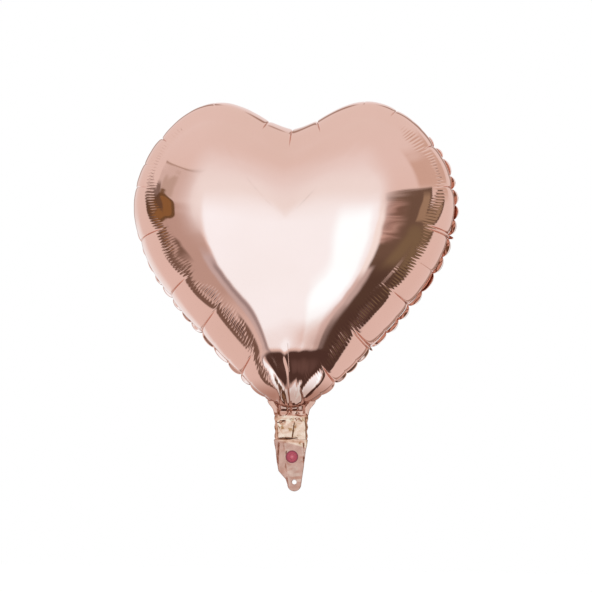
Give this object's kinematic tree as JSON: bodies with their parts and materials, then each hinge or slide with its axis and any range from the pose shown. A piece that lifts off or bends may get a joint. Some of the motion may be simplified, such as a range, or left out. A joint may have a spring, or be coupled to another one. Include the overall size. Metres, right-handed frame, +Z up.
{
  "type": "heart-shaped foil balloon",
  "caption": "Inflated heart-shaped foil balloon with a welded edge, a flat neck with a film check valve, and a folding tail with a filling port and a tie hole.",
  "frame": {"origin": "the throat, where the neck leaves the heart and a ribbon is tied", "axes": "+Z up through the heart to its cleft, +X to its right seen from the front, front facing -Y"},
  "size_m": [0.3591, 0.176, 0.4255],
  "materials": {
    "foil": "rose gold metallised film, bright",
    "foil_back": "rose gold metallised film, bright",
    "valve_film": "translucent polyethylene film",
    "mark_ink": "printed ink"
  },
  "bodies": {
    "envelope": {"front_panel": "foil", "back_panel": "foil_back", "valve_front_root": "valve_film", "valve_back_inner": "valve_film"},
    "valve_lip": {"valve_front_lip": "valve_film"},
    "neck": {"neck_front_film": "foil", "neck_back_film": "foil_back", "valve_front_neck": "valve_film", "valve_back_neck": "valve_film"},
    "tail": {"tail_front_film": "foil", "tail_back_film": "foil_back", "valve_front_tail": "valve_film", "valve_back_tail": "valve_film", "fill_marker": "mark_ink"}
  },
  "joints": [
    {"name": "neck_fold", "type": "hinge", "parent": "envelope", "child": "neck", "pos_m": [0, 0, 0], "axis": [1, 0, 0], "range_deg": [-75, 75]},
    {"name": "tail_fold", "type": "hinge", "parent": "neck", "child": "tail", "pos_m": [0, 0, -0.03], "axis": [1, 0, 0], "range_deg": [-90, 90]},
    {"name": "valve_opening", "type": "hinge", "parent": "envelope", "child": "valve_lip", "pos_m": [0, -0.0002, 0.008], "axis": [1, 0, 0], "range_deg": [0, 7]}
  ]
}
